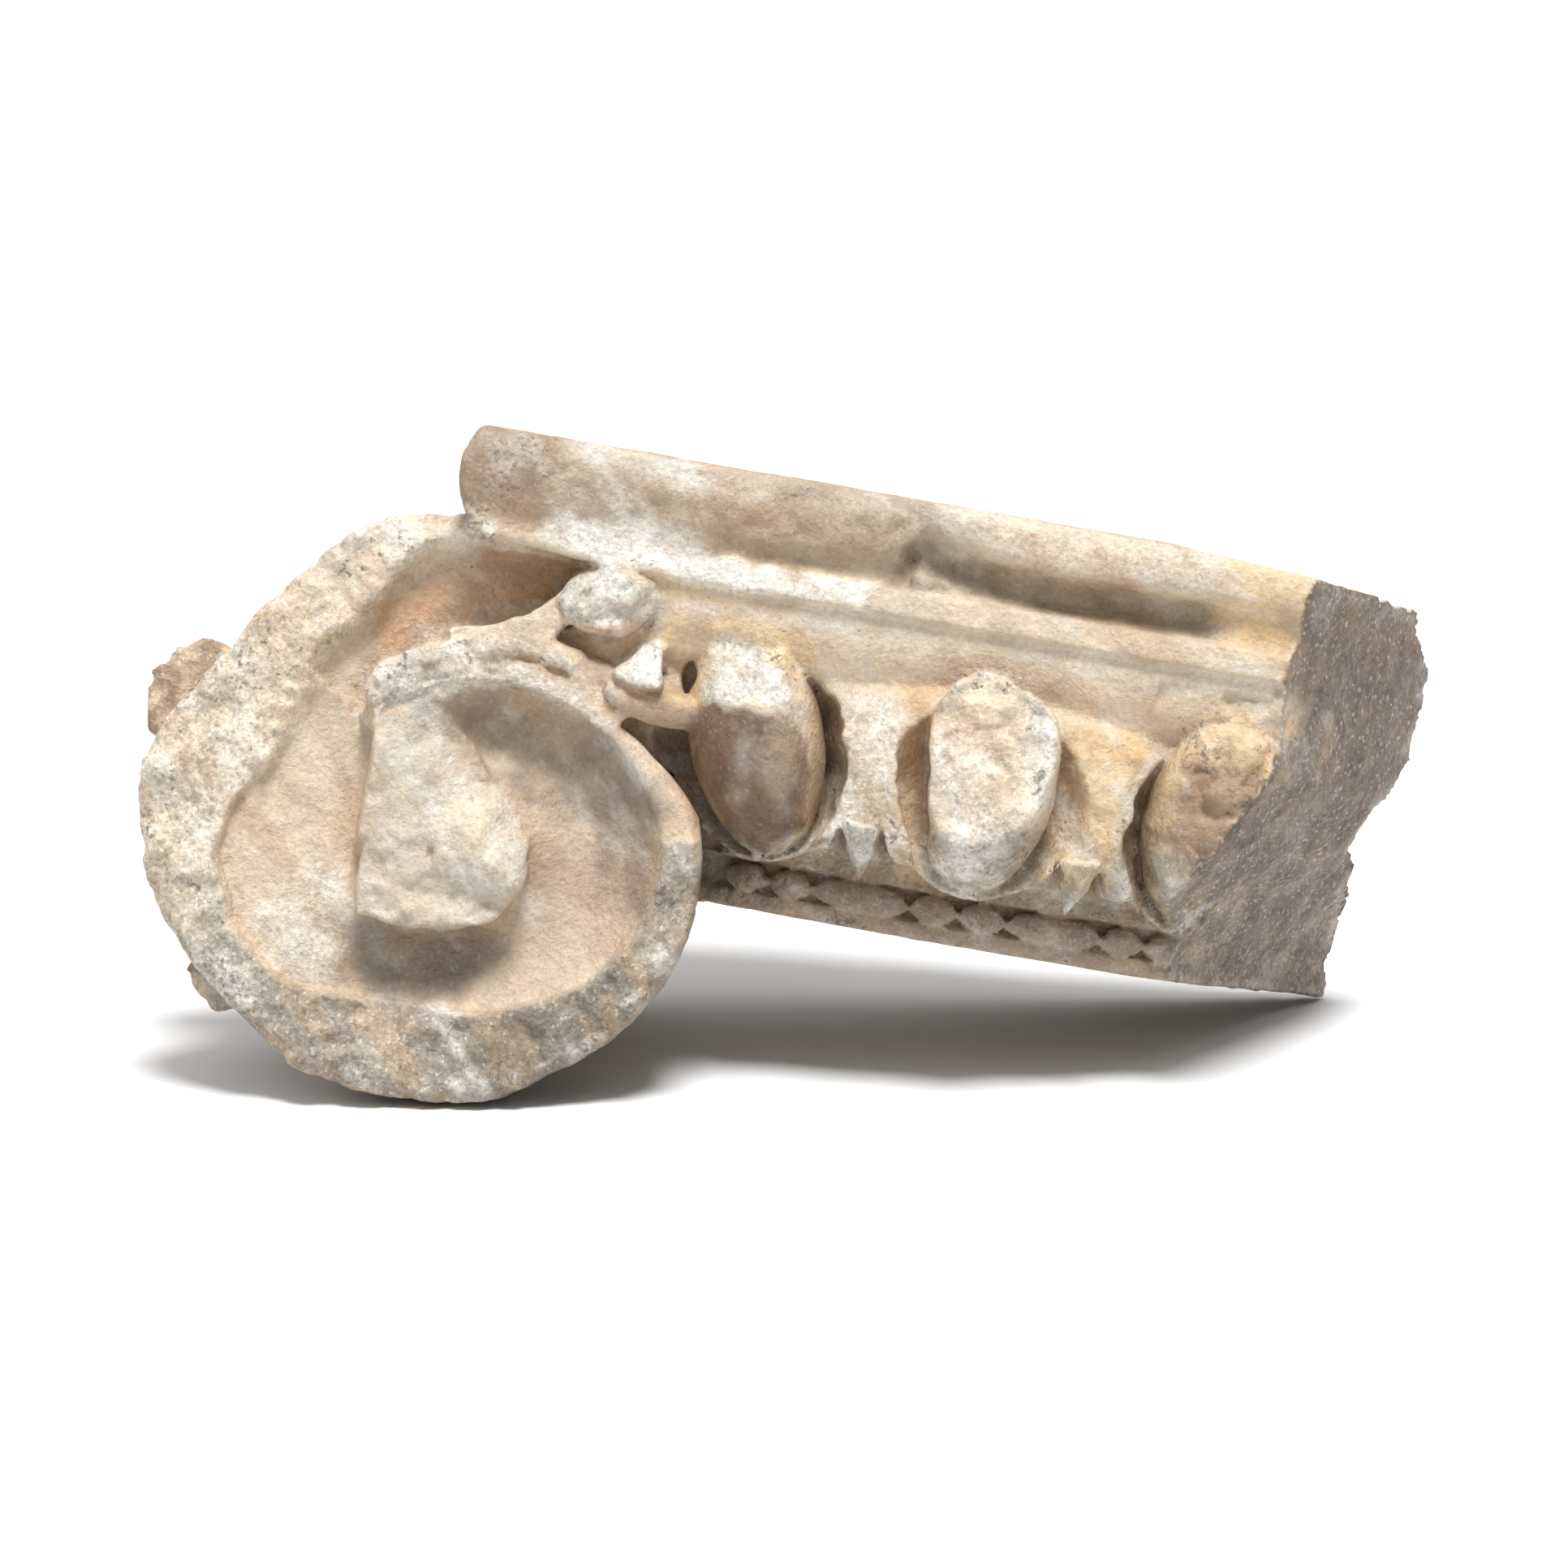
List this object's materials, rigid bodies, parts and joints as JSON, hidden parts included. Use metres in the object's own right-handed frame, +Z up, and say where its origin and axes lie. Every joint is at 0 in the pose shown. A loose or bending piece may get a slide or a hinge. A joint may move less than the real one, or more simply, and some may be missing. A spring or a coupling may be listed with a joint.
{
  "type": "ionic capital fragment",
  "caption": "Broken corner of a carved marble Ionic capital with volute, palmette, egg-and-dart and abacus, lying tilted as it comes to rest.",
  "frame": {"origin": "centre of the bounding box at floor level", "axes": "+Z up from the floor, -Y towards the carved front with the volute, +X towards the fracture at the right end; the stone lies tilted on the rim of its volute, the back of its bolster and the rear corner of its bed"},
  "size_m": [0.552, 0.2366, 0.2827],
  "materials": {
    "marble": "weathered cream marble with tan patina and white crystalline breaks"
  },
  "bodies": {
    "root": {"ionic_capital_fragment": "marble"}
  },
  "joints": []
}
